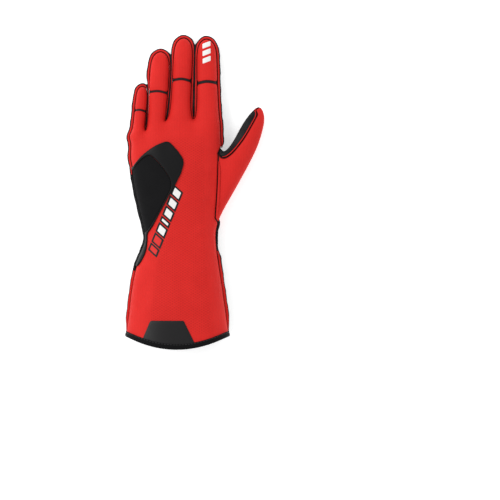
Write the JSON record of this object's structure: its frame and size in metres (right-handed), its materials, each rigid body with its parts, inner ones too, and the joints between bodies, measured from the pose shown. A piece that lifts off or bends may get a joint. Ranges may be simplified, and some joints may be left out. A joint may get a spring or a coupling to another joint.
{
  "type": "racing glove",
  "caption": "Left-hand gauntlet driving glove with outside seams, a gripped suede palm, a gathered wrist, a flared cuff and a neoprene back patch.",
  "frame": {"origin": "centre of the glove's box seen from above, on the floor that the palm side rests on", "axes": "+Y along the fingers, +Z out of the back of the hand, +X towards the thumb"},
  "size_m": [0.14, 0.3146, 0.0542],
  "materials": {
    "red_knit": "matt red stretch knit",
    "black_suede": "black synthetic suede",
    "black_stretch": "black stretch cloth",
    "binding_tape": "black woven tape",
    "black_neoprene": "black neoprene",
    "black_rubber": "satin black rubber",
    "label_film": "satin black film",
    "grey_silicone": "matt grey silicone"
  },
  "bodies": {
    "root": {"back_panel": "red_knit", "little_tip_back": "red_knit", "ring_tip_back": "red_knit", "middle_tip_back": "red_knit", "index_tip_back": "red_knit", "thumb_back": "red_knit", "hand_welt": "red_knit", "cuff_welt": "red_knit", "thumb_welt": "red_knit", "thumb_base_welt": "red_knit", "palm_panel": "black_suede", "thumb_palm": "black_suede", "cuff_palm": "black_stretch", "knuckle_gusset_little": "black_stretch", "knuckle_gusset_ring": "black_stretch", "knuckle_gusset_middle": "black_stretch", "knuckle_gusset_index": "black_stretch", "hem_binding": "binding_tape", "back_patch": "black_neoprene", "patch_frame": "black_rubber", "cuff_label": "label_film", "palm_grip_little": "grey_silicone", "palm_grip_ring": "grey_silicone", "palm_grip_middle": "grey_silicone", "palm_grip_index": "grey_silicone", "heel_grip_side": "grey_silicone", "heel_grip_corner": "grey_silicone", "heel_grip_outer": "grey_silicone", "heel_grip_small": "grey_silicone", "heel_grip_inner": "grey_silicone", "web_grip_lower": "grey_silicone", "web_grip_upper": "grey_silicone", "little_root_grip": "grey_silicone", "little_low_grip": "grey_silicone", "little_high_grip": "grey_silicone", "little_tip_grip": "grey_silicone", "ring_root_grip": "grey_silicone", "ring_low_grip": "grey_silicone", "ring_high_grip": "grey_silicone", "ring_tip_grip": "grey_silicone", "middle_root_grip": "grey_silicone", "middle_low_grip": "grey_silicone", "middle_high_grip": "grey_silicone", "middle_tip_grip": "grey_silicone", "index_root_grip": "grey_silicone", "index_low_grip": "grey_silicone", "index_high_grip": "grey_silicone", "index_tip_grip": "grey_silicone", "thumb_grip_low": "grey_silicone", "thumb_grip_middle": "grey_silicone", "thumb_grip_tip": "grey_silicone"}
  },
  "joints": []
}
